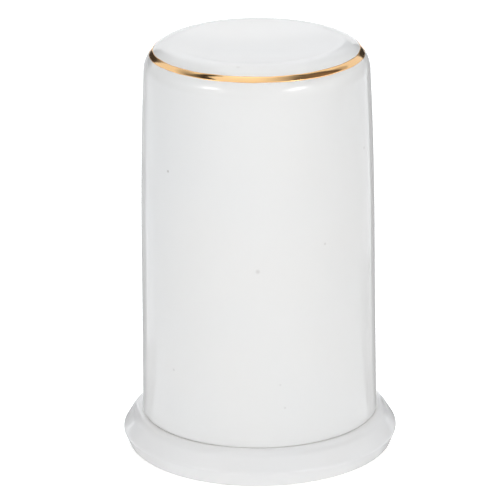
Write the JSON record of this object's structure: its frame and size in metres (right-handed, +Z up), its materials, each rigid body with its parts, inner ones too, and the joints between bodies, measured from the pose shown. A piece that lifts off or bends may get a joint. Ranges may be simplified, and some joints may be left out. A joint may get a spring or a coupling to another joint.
{
  "type": "covered toothpick holder",
  "caption": "Porcelain toothpick holder: flanged round base with an upright cup, under a tall round-shouldered cover with a dished top and a thin gilt line.",
  "frame": {"origin": "middle of the foot ring, in the plane of the table", "axes": "+Z up along the axis of the base, the cup and the cover; the form is round, so +X and +Y are free"},
  "size_m": [0.0558, 0.0558, 0.0844],
  "materials": {
    "cover_porcelain": "clear glaze, gloss",
    "bright_gold": "fired-on bright gold, gloss",
    "base_porcelain": "clear glaze, gloss; foot ring unglazed"
  },
  "bodies": {
    "base": {"base": "base_porcelain"},
    "cover": {"cover": "cover_porcelain", "gilt_line": "bright_gold"}
  },
  "joints": [
    {"name": "cover_lift", "type": "slide", "parent": "base", "child": "cover", "axis": [0, 0, 1], "range_m": [0, 0.09]}
  ]
}
